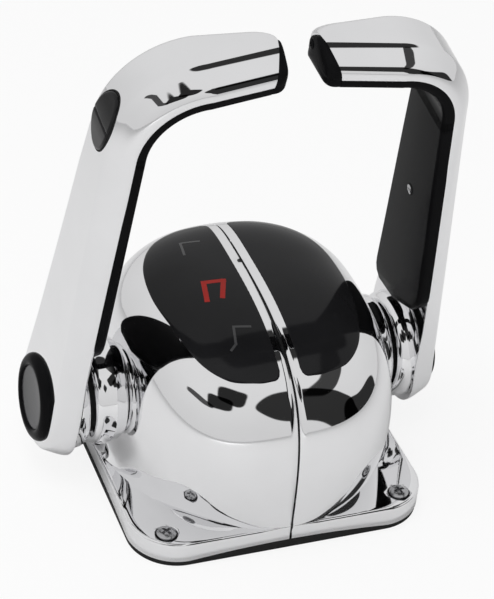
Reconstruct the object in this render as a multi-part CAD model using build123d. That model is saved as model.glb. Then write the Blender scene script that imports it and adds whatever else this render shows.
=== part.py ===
from build123d import *
import math
import os

# Twin-lever engine control for a motor boat: a two-piece domed housing on a square base, with one
# L-shaped lever on each side whose handle reaches in over the dome. Millimetres.
# The origin is the centre of the base's underside. +X is starboard, +Y the bow, +Z up.
# What comes in pairs is made for starboard and mirrored to port. At rest both levers are in neutral.

# Base outline
base_width = 158.0
base_depth = 158.0
base_corner_radius = 25.5
gasket_thickness = 3.0
gasket_band = 14.0
edge_arch = 2.7
skirt_top = 14.0

# Domed housing
dome_top = 109.5
dome_half_width = 73.0
cover_wall = 4.0
seam_gap = 0.8
panel_thickness = 2.2
panel_gap = 0.15
pocket_bottom = 75.0
panel_seam_margin = 5.2
panel_corner = 4.0
mark_thickness = 0.7
flare_height = 6.0
corner_sweep_height = 14.0

# Exponents of the rounded forms: plan of the dome and of its foot, and its aft, bow and side profiles.
# The foot is an ellipse inside the square base, which leaves a flat land with a screw in each corner.
aft_plan_power = 2.95
bow_plan_power = 2.3
foot_power = 2.0
aft_power = (2.65, 3.7)
bow_power = (3.7, 6.0)
side_power = (3.6, 3.75)

# Pivot of the levers
pivot_y = 20.0
pivot_z = 40.5
shaft_radius = 8.0
journal_radius = 6.0
running_gap = 0.05
seat_gap = 0.02

# Lever casting
lever_face = 106.5
lever_thickness = 13.5
lever_lean_in = 4.8
lever_lean_aft = 10.7
lever_height = 225.0
lever_height_x = 12.5
foot_radius = 31.5
bend_radius = 46.0
bend_half_width = 20.0
handle_end_half_width = 16.0
handle_rise = 2.5
handle_reach = 8.5
outer_round = 8.0
inner_round = 1.2
arm_wall = 5.0

# Trim of the lever
trim_thickness = 4.0
trim_inset = 1.2
trim_round = 2.5
trim_start = 44.0
trim_tip_round = 14.0
trim_split = 6.0
trim_gap = 0.1
grip_end_length = 8.0
grip_end_root = 16.0
end_inset = 0.3
grip_end_rake = 12.0
grip_end_round = 5.0
trim_screw_radius = 2.6
trim_screw_height = 118.0

# Collar between housing and lever, with its seal
boss_reach = 82.5
boss_root = 60.0
boss_radius = 30.0
boss_lip_radius = 25.5
boss_bore = 10.0
seal_outer_radius = 22.0
seal_inner_radius = 13.0
seal_depth = 2.3
collar_gap = 2.0
collar_radius = 30.0
seal_clearance = 0.3

# Cap of the pivot
cap_bore = 15.0
cap_floor = 7.0
cap_ring_radius = 24.0
cap_disc_radius = 17.0
cap_ring_height = 4.0
cap_disc_height = 2.6
cap_plug_depth = 2.5
cap_plug_gap = 0.6
clamp_radius = 4.0
washer_radius = 11.0
washer_thickness = 1.6

# Trim rocker of the port lever
rocker_height = 190.0
rocker_offset = 2.0
rocker_length = 38.0
rocker_width = 25.0
rocker_proud = 1.2
rocker_gap = 0.5
rocker_thickness = 4.5
rocker_pocket = 8.0
rocker_pin_radius = 1.2
rocker_pin_depth = 2.8
switch_length = 20.0
switch_height = 5.4
switch_plunger = 4.0

# Base plate, mounting holes and harness outlet
plate_thickness = 6.0
plate_gap = 0.5
mount_hole_radius = 3.2
mount_spacing_x = 104.0
mount_spacing_y = 96.0
harness_y = -50.0
harness_radius = 8.0
grommet_wall = 4.0
grommet_flange = 2.5

# Corner screws
screw_x = 63.2
screw_y = 68.4
screw_head_radius = 5.0
screw_head_height = 3.4
screw_shank_radius = 2.5
screw_clearance = 0.3
well_radius = 5.9
well_floor = 12.8
land_wall = 3.5
screw_post_radius = 8.0

# Frame of the mechanism
frame_floor = 3.0
frame_length_aft = 44.0
frame_length_bow = 24.0
frame_tongue = 18.0
frame_tongue_half = 22.0
frame_wall_top = 84.0
center_wall = 10.0
side_wall_x = 46.0
side_wall = 5.0
frame_boss_radius = 16.0
frame_screw_radius = 2.0
bush_flange = 1.2
bush_start = 0.3
bush_wall = 3.0

# Detent wheel and plunger
wheel_x = 8.0
wheel_width = 7.0
wheel_radius = 22.0
notch_radius = 3.4
notch_depth = 1.6
notch_angles = (-22.0, 0.0, 22.0)
ball_radius = 3.0
ball_gap = 0.3
plunger_radius = 5.0
plunger_length = 17.0
spring_wire = 0.9
spring_coils = 5

# Drive gear and sensor pinion
gear_module = 1.0
drive_teeth = 40
pinion_teeth = 20
gear_x = 18.5
gear_width = 6.0
gear_backlash = 0.12
pinion_angle = 60.0
sensor_shaft_radius = 3.0
sensor_body_x = 31.0
sensor_body_size = 22.0

# Friction brake
drum_x = 26.5
drum_width = 9.0
drum_radius = 13.0
brake_length = 12.0
brake_half_height = 8.0
brake_screw_radius = 2.5

# Control board under the panels
board_thickness = 1.6
board_half_width = 50.0
board_aft = 34.0
board_bow = 28.0
lamp_radius = 2.5
lamp_height = 4.0

lever_pivot = Pos(0, pivot_y, pivot_z)
lever_place = lever_pivot * Rot(lever_lean_aft, 0, 0)
pieces = {}


def along_x(y, z, radius, start, length):
    """Cylinder along +X."""
    return Pos(start, y, z) * Rot(0, 90, 0) * extrude(Circle(radius), length)


def tube_x(y, z, outer, inner, start, length):
    """Tube along +X."""
    ring = Circle(outer) - Circle(inner)
    return Pos(start, y, z) * Rot(0, 90, 0) * extrude(ring, length)


def block(x0, x1, y0, y1, z0, z1):
    """Box between two corners."""
    return Pos((x0 + x1) / 2, (y0 + y1) / 2, (z0 + z1) / 2) * Box(x1 - x0, y1 - y0, z1 - z0)


def pan_screw(head_radius, head_height, shank_radius, length, recess):
    """Cross-recess pan head, its underside at z = 0, with the shank downwards."""
    rise = head_height * 0.35
    profile = Polyline((0, -length), (shank_radius, -length), (shank_radius, 0), (head_radius, 0),
                       (head_radius, head_height - rise))
    crown = ThreePointArc((head_radius, head_height - rise),
                          (head_radius * 0.62, head_height - rise * 0.3), (0, head_height))
    outline = make_face(profile + crown + Line((0, head_height), (0, -length)))
    screw = revolve(Plane.XZ * outline, Axis.Z)
    slot = Rectangle(recess, recess * 0.24) + Rectangle(recess * 0.24, recess)
    return screw - Pos(0, 0, head_height * 0.45) * extrude(slot, head_height)


def dome_height(share):
    """Height of the dome's section at a share of the way from the skirt to the crown."""
    return skirt_top + share * (dome_top - skirt_top)


def dome_reach(share, power):
    """How far a profile of the dome still reaches at a share of its height, from 1 down to 0."""
    return (1 - share ** power[1]) ** (1 / power[0])


def dome_section(share):
    """Half of the dome's plan, starboard of the seam, at a share of its height."""
    rise = share * (dome_top - skirt_top)
    fade = math.exp(-rise / flare_height)
    foot = base_width / 2 - 0.5
    half = dome_half_width * dome_reach(share, side_power) + (foot - dome_half_width) * fade
    aft = (base_depth / 2 - 0.5 + pivot_y) * dome_reach(share, aft_power)
    bow = (base_depth / 2 - 0.5 - pivot_y) * dome_reach(share, bow_power)
    sweep = math.exp(-rise / corner_sweep_height)
    points = []
    for step in range(13):
        angle = math.radians(-90 + step * 15)
        cosine = max(math.cos(angle), 0.0)
        sine = math.sin(angle)
        reach = bow if sine > 0 else aft
        plan_power = bow_plan_power if sine > 0 else aft_plan_power
        power = plan_power + (foot_power - plan_power) * sweep
        across = half * cosine ** (2 / power)
        along = pivot_y + math.copysign(reach * abs(sine) ** (2 / power), sine)
        points.append((across if 0 < step < 12 else 0.0, along))
    curve = Spline(*points, tangents=[(1, 0), (-1, 0)])
    return Pos(0, 0, dome_height(share)) * make_face(curve + Line(points[-1], points[0]))


# The sections lie close together at the flare and at the crown
dome_shares = (0, 0.01, 0.022, 0.036, 0.052, 0.07, 0.09, 0.115, 0.15, 0.2, 0.27, 0.36, 0.46, 0.56, 0.65, 0.73,
               0.8, 0.86, 0.91, 0.945, 0.97, 0.987, 0.9965)
half_dome = loft([dome_section(share) for share in dome_shares])
dome_focus = (0, pivot_y, skirt_top)
wall_scale = 1 - cover_wall / dome_half_width * 0.95
panel_scale = 1 - panel_thickness / (dome_top - skirt_top)


def skirt_block(inset, bottom, top):
    """Rounded square block of the base outline, drawn in by an inset."""
    outline = RectangleRounded(base_width - 2 * inset, base_depth - 2 * inset, base_corner_radius - inset)
    return Pos(0, 0, bottom) * extrude(outline, top - bottom)


starboard_half = block(0, base_width, -base_depth, base_depth, -1, dome_top + 5)
arch_span = base_width / 2 - base_corner_radius
arch_radius = (arch_span ** 2 + edge_arch ** 2) / (2 * edge_arch)
arch_center = gasket_thickness + edge_arch - arch_radius


def edge_arches(lift):
    """Low arches under the four sides of the base, raised by a lift."""
    along_side = Pos(0, 0, arch_center + lift) * Rot(90, 0, 0) * Cylinder(arch_radius, 2 * base_depth)
    across = Pos(0, 0, arch_center + lift) * Rot(0, 90, 0) * Cylinder(arch_radius, 2 * base_width)
    above = block(-base_width, base_width, -base_depth, base_depth, gasket_thickness, skirt_top)
    return (along_side + across) & above


# Base plate and gasket
plate_inset = cover_wall + plate_gap
plate_bottom = gasket_thickness
plate_top = plate_bottom + plate_thickness
mount_places = [(sx * mount_spacing_x / 2, sy * mount_spacing_y / 2) for sx in (-1, 1) for sy in (-1, 1)]
screw_places = [(sx * screw_x, sy * screw_y) for sx in (-1, 1) for sy in (-1, 1)]

rim = skirt_block(0.4, gasket_thickness, skirt_top) - skirt_block(cover_wall, 0, skirt_top)
gasket = skirt_block(0.4, 0, gasket_thickness) - skirt_block(gasket_band, -1, gasket_thickness + 1)
gasket = gasket + (rim & edge_arches(-0.1))
for x, y in mount_places:
    gasket = gasket - Pos(x, y, 0) * Cylinder(mount_hole_radius + 2, 4 * gasket_thickness)
pieces["base_gasket"] = gasket

base_plate = skirt_block(plate_inset, plate_bottom, plate_top)
for x, y in mount_places:
    base_plate = base_plate - Pos(x, y, plate_bottom) * Cylinder(mount_hole_radius, 4 * plate_thickness)
for x, y in screw_places:
    base_plate = base_plate - Pos(x, y, plate_bottom + 1) * extrude(Circle(screw_shank_radius), plate_top)
grommet_hole = harness_radius + grommet_wall - 1.5
base_plate = base_plate - Pos(0, harness_y, 0) * Cylinder(grommet_hole, 4 * plate_top)

grommet = Circle(harness_radius + grommet_wall) - Circle(harness_radius)
grommet = Pos(0, harness_y, plate_bottom - grommet_flange) * extrude(grommet, plate_thickness + 2 * grommet_flange)
groove = Circle(harness_radius + 2 * grommet_wall) - Circle(grommet_hole - seat_gap)
grommet = grommet - Pos(0, harness_y, plate_bottom - seat_gap) * extrude(groove, plate_thickness + 2 * seat_gap)
pieces["harness_grommet"] = grommet

# Covers: skirt, dome, side boss, posts over the corner screws, and the seat of the panel
panel_points = [(panel_seam_margin + panel_corner, 61.5), (24, 61), (38.5, 52), (48.5, 34), (51.5, 10),
                (49, -15), (43, -39), (32, -52.5), (18, -57), (panel_seam_margin + panel_corner, -57.5)]
panel_middle = (22.0, 5.0)


def panel_outline(grow):
    """Plan of the starboard panel: a straight edge beside the seam and a long curve outside."""
    margin = panel_seam_margin - grow
    points = []
    for x, y in panel_points:
        away = math.hypot(x - panel_middle[0], y - panel_middle[1])
        points.append((x + grow * (x - panel_middle[0]) / away, y + grow * (y - panel_middle[1]) / away))
    bow_end = (margin, points[0][1] - panel_corner)
    aft_end = (margin, points[-1][1] + panel_corner)
    curve = Spline(*points, tangents=[(1, 0), (-1, 0)])
    corners = [RadiusArc(points[0], bow_end, panel_corner + grow), RadiusArc(aft_end, points[-1], panel_corner + grow)]
    return make_face(curve + corners + Line(bow_end, aft_end))


panel_seat = scale(half_dome, by=panel_scale, about=dome_focus)
panel_skin = half_dome - panel_seat
panel_prism = extrude(panel_outline(0), dome_top + 5)
pocket = Pos(0, 0, pocket_bottom) * extrude(panel_outline(panel_gap), dome_top + 5 - pocket_bottom) - panel_seat
starboard_panel = panel_skin & panel_prism

skirt = skirt_block(0, gasket_thickness, skirt_top) & starboard_half
inside = scale(half_dome, by=wall_scale, about=dome_focus)
inside = inside + extrude(scale(dome_section(0), by=wall_scale, about=dome_focus), -2 * land_wall)
inside = inside + (skirt_block(cover_wall, -1, skirt_top - land_wall) & starboard_half)
cover = (skirt + half_dome) - inside - edge_arches(0)

boss_profile = make_face(Polyline((boss_root, boss_bore), (boss_root, boss_radius), (boss_reach - 4, boss_radius - 2),
                                  (boss_reach, boss_lip_radius), (boss_reach, seal_outer_radius),
                                  (boss_reach - seal_depth, seal_outer_radius),
                                  (boss_reach - seal_depth, boss_bore), close=True))
boss = lever_pivot * revolve(boss_profile, Axis.X)
cover = cover + boss
roof = scale(half_dome, by=wall_scale + 0.02, about=dome_focus) + skirt_block(1.0, plate_top, skirt_top)
posts = []
bores = [along_x(pivot_y, pivot_z, boss_bore, boss_root - 10, 60)]
for y in (-screw_y, screw_y):
    posts.append(roof & Pos(screw_x, y, plate_top) * extrude(Circle(screw_post_radius), dome_top / 2))
    bore = Pos(screw_x, y, 0) * extrude(Circle(screw_shank_radius + screw_clearance), skirt_top)
    bores.append(bore + Pos(screw_x, y, well_floor) * extrude(Circle(well_radius), dome_top))
cover = cover + posts
cover = cover - bores
cover = cover - pocket
cover = cover - block(-base_width, seam_gap / 2, -base_depth, base_depth, -1, dome_top + 5)
pieces["starboard_cover"] = cover
pieces["port_cover"] = mirror(cover, Plane.YZ)


def seam_profile(inset):
    """Profile of the housing on the seam plane, seen from the side, drawn in by an inset."""
    low = skirt_top
    aft = []
    bow = []
    for share in dome_shares:
        height = dome_height(share) - inset * share
        aft_edge = pivot_y - (base_depth / 2 - 0.5 + pivot_y - inset) * dome_reach(share, aft_power)
        bow_edge = pivot_y + (base_depth / 2 - 0.5 - pivot_y - inset) * dome_reach(share, bow_power)
        aft.append((aft_edge, height))
        bow.append((bow_edge, height))
    crown = Spline(*(aft[1:] + bow[:0:-1]))
    bottom = gasket_thickness + edge_arch + 0.2
    sides = Polyline(crown @ 0, (aft[0][0], low), (aft[0][0], bottom), (bow[0][0], bottom), (bow[0][0], low),
                     crown @ 1)
    return Plane.YZ * make_face(crown + sides)


seam_strip = extrude(seam_profile(0.5), (seam_gap - 0.1) / 2, both=True)
seam_strip = seam_strip - extrude(seam_profile(cover_wall + 1.5), seam_gap, both=True)
inner_depth = base_depth / 2 - cover_wall
seam_strip = seam_strip - block(-1, 1, -inner_depth, inner_depth, 0, skirt_top)
pieces["seam_gasket"] = seam_strip

# Panels with the neutral light and two unlit marks
port_panel = mirror(starboard_panel, Plane.YZ)


def bracket_mark(width, length, stroke):
    """Square bracket, open towards the operator."""
    outer = Rectangle(width, length)
    return outer - Pos(0, -stroke) * Rectangle(width - 2 * stroke, length)


neutral_shape = Pos(-21.8, 0.6) * Rot(0, 0, -4) * bracket_mark(12.5, 15.5, 3.0)
ahead_shape = Pos(-21.0, 38.0) * Rot(0, 0, -10) * (Rectangle(7, 9) - Pos(2, 0) * Rectangle(5, 6.5))
astern_corner = Pos(0, 6) * Rectangle(11, 1.6) + Pos(-4.7, 0) * Rectangle(1.6, 12)
astern_shape = Pos(-18.5, -33.0) * Rot(0, 0, -8) * astern_corner
mark_skin = half_dome - scale(half_dome, by=1 - mark_thickness / (dome_top - skirt_top), about=dome_focus)
mark_skin = mirror(mark_skin, Plane.YZ)
panel_depth = mirror(panel_skin, Plane.YZ)
neutral_lens = panel_depth & extrude(neutral_shape, dome_top + 5)
marks = []
for shape in (ahead_shape, astern_shape):
    marks += list((mark_skin & extrude(shape, dome_top + 5)).solids())
port_panel = port_panel - extrude(neutral_shape, dome_top + 5)
for mark in marks:
    port_panel = port_panel - mark
pieces["starboard_panel"] = starboard_panel
pieces["port_panel"] = port_panel
pieces["neutral_lens"] = neutral_lens
pieces["gear_marks"] = Compound(marks)

# Corner screws
corner_screw = pan_screw(screw_head_radius, screw_head_height, screw_shank_radius - seat_gap,
                         well_floor - plate_bottom - 1.5, screw_head_radius * 1.1)
pieces["flange_screws"] = Compound([Pos(x, y, well_floor) * corner_screw for x, y in screw_places])

# Frame of the mechanism: a floor, a middle wall and two side walls around the shafts
floor_aft = pivot_y - frame_length_aft
floor_bow = pivot_y + frame_length_bow
floor_top = plate_top + frame_floor
side_wall_end = side_wall_x + side_wall


def frame_wall(x0, x1):
    """Upright wall, waisted between the floor and the board, with round eyes for shaft and sensor."""
    half_foot = 20.0
    plate = Polyline((pivot_y - half_foot, plate_top), (pivot_y - frame_boss_radius - 4, pivot_z),
                     (-board_aft + 16, frame_wall_top), (board_bow - 6, frame_wall_top),
                     (pivot_y + frame_boss_radius + 4, pivot_z), (pivot_y + half_foot, plate_top), close=True)
    wall = extrude(Plane.YZ * make_face(plate), x1 - x0)
    return Pos(x0, 0, 0) * wall


frame = block(-side_wall_end, side_wall_end, floor_aft, floor_bow, plate_top, floor_top)
frame = fillet(frame.edges().filter_by(Axis.Z), 6)
frame = frame + block(-frame_tongue_half, frame_tongue_half, floor_bow - 5, floor_bow + frame_tongue, plate_top,
                      floor_top)
frame = frame + frame_wall(-center_wall / 2, center_wall / 2)
for x0 in (-side_wall_end, side_wall_x):
    frame = frame + frame_wall(x0, x0 + side_wall)
bush_radius = shaft_radius + bush_wall
inner_bush_radius = journal_radius + bush_wall
frame = frame - along_x(pivot_y, pivot_z, inner_bush_radius, -center_wall, 2 * center_wall)
for start in (-side_wall_end - 1, side_wall_x - 1):
    frame = frame - along_x(pivot_y, pivot_z, bush_radius, start, side_wall + 2)
sensor_reach = gear_module * (drive_teeth + pinion_teeth) / 2
sensor_turn = math.radians(90 + pinion_angle / 2)
sensor_y = pivot_y + sensor_reach * math.cos(sensor_turn)
sensor_z = pivot_z + sensor_reach * math.sin(sensor_turn)
post_x0 = wheel_x + wheel_width / 2 - plunger_radius - 2
post_x1 = wheel_x + wheel_width / 2 + plunger_radius + 2
ball_y = pivot_y + wheel_radius + ball_gap + ball_radius
post_y0 = ball_y + 1.0
post_y1 = post_y0 + plunger_length - 3
lug_x0 = drum_x
lug_x1 = drum_x + drum_width
brake_y1 = pivot_y - drum_radius - running_gap
brake_y0 = brake_y1 - brake_length
lug_y0 = brake_y0 - 5.0
for side in (-1, 1):
    x0, x1 = sorted((side * post_x0, side * post_x1))
    frame = frame + block(x0, x1, post_y0, post_y1, plate_top, pivot_z + plunger_radius + 3)
    x0, x1 = sorted((side * lug_x0, side * lug_x1))
    frame = frame + block(x0, x1, lug_y0, brake_y0, plate_top, pivot_z + brake_half_height)
    frame = frame - Pos(side * (post_x0 + post_x1) / 2, post_y0 - 1, pivot_z) * Rot(-90, 0, 0) * extrude(
        Circle(plunger_radius), plunger_length + 20)
    frame = frame - Pos(side * (lug_x0 + lug_x1) / 2, lug_y0 - 1, pivot_z) * Rot(-90, 0, 0) * extrude(
        Circle(brake_screw_radius), brake_length)
frame_screw_x = side_wall_x - 6
frame_screw_places = [(sx * frame_screw_x, y) for sx in (-1, 1) for y in (floor_aft + 7, floor_bow - 7)]
for x, y in frame_screw_places:
    frame = frame - Pos(x, y, plate_top - 1) * extrude(Circle(frame_screw_radius + 0.2), frame_floor + 2)
    base_plate = base_plate - Pos(x, y, plate_bottom + 1) * extrude(Circle(frame_screw_radius), plate_thickness)
pieces["mechanism_frame"] = frame
pieces["base_plate"] = base_plate
frame_screw = pan_screw(frame_screw_radius * 1.9, 2.6, frame_screw_radius - seat_gap, frame_floor + 4.0,
                        frame_screw_radius * 2)
pieces["frame_screws"] = Compound([Pos(x, y, floor_top) * frame_screw for x, y in frame_screw_places])

# Control board on top of the walls, its lamps under the marks, and its plug
board = block(-board_half_width, board_half_width, -board_aft + 10, board_bow + 16, frame_wall_top,
              frame_wall_top + board_thickness)
board = fillet(board.edges().filter_by(Axis.Z), 4)
pieces["control_board"] = board
board_face = frame_wall_top + board_thickness
lamp = extrude(Circle(lamp_radius), lamp_height) + Pos(0, 0, lamp_height) * Sphere(lamp_radius)
lamp_places = [(-21.8, 3.0), (-21.0, 37.0), (-18.5, -20.0)]
pieces["panel_lamps"] = Compound([Pos(x, y, board_face) * lamp for x, y in lamp_places])
plug = block(-14, 14, board_bow + 4, board_bow + 18, frame_wall_top - 10, frame_wall_top)
plug = plug - block(-12, 12, board_bow + 6, board_bow + 30, frame_wall_top - 8.5, frame_wall_top - 1.5)
pieces["harness_socket"] = plug

# Bushes, seal and brake of the starboard side


def flanged_bush(start, length, seat, bore):
    """Plain bush along +X with a flange at its far end."""
    sleeve = tube_x(pivot_y, pivot_z, seat - seat_gap, bore + running_gap, start, length)
    return sleeve + tube_x(pivot_y, pivot_z, seat + 2, bore + running_gap, start + length, bush_flange)


inner_bush = flanged_bush(bush_start, center_wall / 2 - bush_start, inner_bush_radius, journal_radius)
outer_bush = flanged_bush(side_wall_x, side_wall, bush_radius, shaft_radius)
seal_floor = boss_reach - seal_depth
seal_end = boss_reach + collar_gap - seal_clearance
seal = tube_x(pivot_y, pivot_z, seal_outer_radius - seat_gap, seal_inner_radius, seal_floor, seal_end - seal_floor)
brake_block = block(lug_x0, lug_x1, brake_y0, pivot_y - drum_radius * 0.6, pivot_z - brake_half_height,
                    pivot_z + brake_half_height)
brake_block = brake_block - along_x(pivot_y, pivot_z, drum_radius + running_gap, lug_x0 - 1, drum_width + 2)
brake_screw_shape = pan_screw(brake_screw_radius * 1.8, 3.0, brake_screw_radius - seat_gap, brake_y0 - lug_y0, 4.5)
brake_screw = Pos((lug_x0 + lug_x1) / 2, lug_y0, pivot_z) * Rot(90, 0, 0) * brake_screw_shape
ball_x = (post_x0 + post_x1) / 2
ball = Pos(ball_x, ball_y, pivot_z) * Sphere(ball_radius)
barrel_floor = 1.5
barrel = Circle(plunger_radius - seat_gap) - Circle(ball_radius + running_gap)
barrel = Pos(ball_x, post_y0 - 0.5, pivot_z) * Rot(-90, 0, 0) * extrude(barrel, plunger_length)
barrel_end = Pos(ball_x, post_y0 - 0.5 + plunger_length - barrel_floor, pivot_z) * Rot(-90, 0, 0) * extrude(
    Circle(plunger_radius - seat_gap), barrel_floor)
barrel = barrel + barrel_end
spring_start = ball_y + ball_radius * 0.75
spring_end = post_y0 - 0.5 + plunger_length - barrel_floor
spring_radius = ball_radius - spring_wire / 2 - 0.2
spring_length = spring_end - spring_start - spring_wire
spring_path = Helix(pitch=spring_length / spring_coils, height=spring_length, radius=spring_radius)
spring_section = Plane(origin=spring_path @ 0, z_dir=spring_path % 0) * Circle(spring_wire / 2)
spring = Pos(ball_x, spring_start + spring_wire / 2, pivot_z) * Rot(-90, 0, 0) * sweep(spring_section, spring_path)

# Shaft with its journal, the drum of the brake and the tapped end for the clamp screw
foot_floor = lever_face - cap_floor
shaft_end = foot_floor - 1.0
shoulder = center_wall / 2 + bush_flange + 0.3
shaft_profile = Polyline((bush_start, 0), (bush_start, journal_radius), (shoulder, journal_radius),
                         (shoulder, shaft_radius), (shaft_end, shaft_radius),
                         (shaft_end, clamp_radius), (shaft_end - 18, clamp_radius), (shaft_end - 20, 0), close=True)
shaft = lever_pivot * revolve(make_face(shaft_profile), Axis.X)
drum = tube_x(pivot_y, pivot_z, drum_radius, shaft_radius + seat_gap, drum_x, drum_width)

# Detent wheel with three notches: astern, neutral and ahead
wheel = tube_x(pivot_y, pivot_z, wheel_radius, shaft_radius + seat_gap, wheel_x, wheel_width)
for angle in notch_angles:
    reach = wheel_radius - notch_depth + notch_radius
    y = pivot_y + reach * math.cos(math.radians(angle))
    z = pivot_z + reach * math.sin(math.radians(angle))
    wheel = wheel - along_x(y, z, notch_radius, wheel_x - 1, wheel_width + 2)
for angle in (60, 150, 210, 300):
    y = pivot_y + 15 * math.cos(math.radians(angle))
    z = pivot_z + 15 * math.sin(math.radians(angle))
    wheel = wheel - along_x(y, z, 3.0, wheel_x - 1, wheel_width + 2)


def gear_face(teeth, backlash):
    """Spur gear outline: involute flanks between tip and root circles, a tooth centred on +X."""
    pitch = gear_module * teeth / 2
    base = pitch * math.cos(math.radians(20))
    tip = pitch + gear_module * 0.95
    root = pitch - gear_module * 1.2
    involute = math.tan(math.radians(20)) - math.radians(20)
    half_tooth = math.pi / (2 * teeth) - backlash / (2 * pitch) + involute
    flank = []
    for step in range(4):
        radius = max(base, root) + (tip - max(base, root)) * step / 3
        roll = math.acos(base / radius)
        flank.append((radius, half_tooth - (math.tan(roll) - roll)))
    edges = []
    for tooth in range(teeth):
        center = 2 * math.pi * tooth / teeth
        next_center = 2 * math.pi * (tooth + 1) / teeth
        right = [(r * math.cos(center - a), r * math.sin(center - a)) for r, a in flank]
        left = [(r * math.cos(center + a), r * math.sin(center + a)) for r, a in flank]
        foot_angle = flank[0][1]
        foot = root if root < flank[0][0] - 0.05 else flank[0][0]
        start = (foot * math.cos(center - foot_angle), foot * math.sin(center - foot_angle))
        end = (foot * math.cos(center + foot_angle), foot * math.sin(center + foot_angle))
        after = (foot * math.cos(next_center - foot_angle), foot * math.sin(next_center - foot_angle))
        if root < flank[0][0] - 0.05:
            edges += [Line(start, right[0]), Line(left[0], end)]
        edges += [Spline(*right), Line(right[-1], left[-1]), Spline(*left), Line(end, after)]
    return make_face(Curve() + edges)


def gear_x_solid(teeth, backlash, turn, bore, y, z):
    """Spur gear standing on the X axis direction, turned by an angle in degrees about +X from +Y."""
    blank = extrude(gear_face(teeth, backlash) - Circle(bore), gear_width)
    return Pos(gear_x, y, z) * Rot(turn, 0, 0) * Rot(0, 90, 0) * Rot(0, 0, 90) * blank


# In the plane seen along +X the angle is counted from +Y towards +Z. The line of centres gets a tooth
# of the drive gear and a gap of the pinion.
center_line = math.degrees(sensor_turn)
drive_gear = gear_x_solid(drive_teeth, gear_backlash, center_line, shaft_radius + seat_gap, pivot_y, pivot_z)
pinion = gear_x_solid(pinion_teeth, gear_backlash, center_line + 180 + 180 / pinion_teeth,
                      sensor_shaft_radius, sensor_y, sensor_z)
sensor_shaft = along_x(sensor_y, sensor_z, sensor_shaft_radius, gear_x - 1.0, sensor_body_x + 8 - gear_x)
half_body = sensor_body_size / 2
sensor_body = block(sensor_body_x, side_wall_x, sensor_y - half_body, sensor_y + half_body,
                    sensor_z - half_body + 4, sensor_z + half_body - 3)
sensor_body = sensor_body - along_x(sensor_y, sensor_z, sensor_shaft_radius + running_gap, sensor_body_x - 1, 10)

# Lever, in its own frame: origin on the pivot axis at the seam plane, local Z up the arm before it leans
turn = math.radians(lever_lean_in)
rise = math.radians(handle_rise)
arm_direction = (-math.sin(turn), math.cos(turn))
handle_direction = (-math.cos(rise), math.sin(rise))
bend_angle = 90 - lever_lean_in - handle_rise
bend_tangent = bend_radius * math.tan(math.radians(bend_angle) / 2)
# The outer lines of arm and handle cross at the corner; the handle's line passes the lever's height
height_drop = (lever_face - lever_height_x) * math.tan(rise)
corner_reach = (lever_height - height_drop) / (math.cos(turn) - math.sin(turn) * math.tan(rise))
arm_length = corner_reach - bend_tangent
arm_plane = Plane(origin=(lever_face, 0, 0), x_dir=(0, 1, 0), z_dir=(math.cos(turn), 0, math.sin(turn)))
bend_start = (lever_face + arm_length * arm_direction[0], arm_length * arm_direction[1])
bend_center = (bend_start[0] - bend_radius * math.cos(turn), bend_start[1] - bend_radius * math.sin(turn))
bend_axis = Axis((bend_center[0], 0, bend_center[1]), (0, -1, 0))
handle_start = (bend_center[0] + bend_radius * math.sin(rise), bend_center[1] + bend_radius * math.cos(rise))
handle_length = (handle_start[0] - handle_reach) / math.cos(rise)
taper_angle = math.asin(foot_radius / math.hypot(arm_length, bend_half_width))
taper_angle = taper_angle - math.atan2(bend_half_width, arm_length)


def arm_half_width(height):
    """Half width of the arm at a height along it, on the line tangent to the round foot."""
    return (foot_radius - height * math.sin(taper_angle)) / math.cos(taper_angle)


def strip_section(half_width, depth, thickness, outside, inside):
    """Cross-section of a strip of the lever: local y is the depth below the outer face."""
    shape = Pos(0, depth + thickness / 2) * Rectangle(2 * half_width, thickness)
    rows = shape.vertices().group_by(Axis.Y)
    if outside:
        shape = fillet(rows[0], outside)
    if inside:
        shape = fillet(shape.vertices().group_by(Axis.Y)[-1], inside)
    return shape


def station(place, direction):
    """Plane across the lever's path, its x fore and aft and its y inwards."""
    return Plane(origin=(place[0], 0, place[1]), x_dir=(0, 1, 0), z_dir=(direction[0], 0, direction[1]))


def bend_and_handle(inset, depth, thickness, outside, inside, reach):
    """Strip of the lever through the bend and along the handle, as far as a reach."""
    section = strip_section(bend_half_width - inset, depth, thickness, outside, inside)
    last = strip_section(handle_end_half_width - inset, depth, thickness, outside, inside)
    bend = revolve(station(bend_start, arm_direction) * section, bend_axis, bend_angle)
    end = (handle_start[0] + handle_direction[0] * reach, handle_start[1] + handle_direction[1] * reach)
    ends = [station(handle_start, handle_direction) * section, station(end, handle_direction) * last]
    return bend, loft(ends, ruled=True)


def arm_strip(inset, depth, thickness, start, end, tip_round):
    """Strip of the arm between two heights, its sides on the taper, drawn in by an inset."""
    low = arm_half_width(start) - inset
    high = arm_half_width(end) - inset
    outline = make_face(Polyline((-low, start), (low, start), (high, end), (-high, end), close=True))
    if tip_round:
        outline = fillet(outline.vertices().group_by(Axis.Y)[0], tip_round)
    return arm_plane * (Pos(0, 0, -depth - thickness) * extrude(outline, thickness))


def foot_outline():
    """Plan of the arm: a round foot about the pivot and two sides that taper to the bend."""
    side = (foot_radius * math.cos(taper_angle), foot_radius * math.sin(taper_angle))
    top = (bend_half_width, arm_length)
    foot = ThreePointArc((-side[0], side[1]), (0, -foot_radius), side)
    return make_face(foot + Polyline(side, top, (-top[0], top[1]), (-side[0], side[1])))


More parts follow.
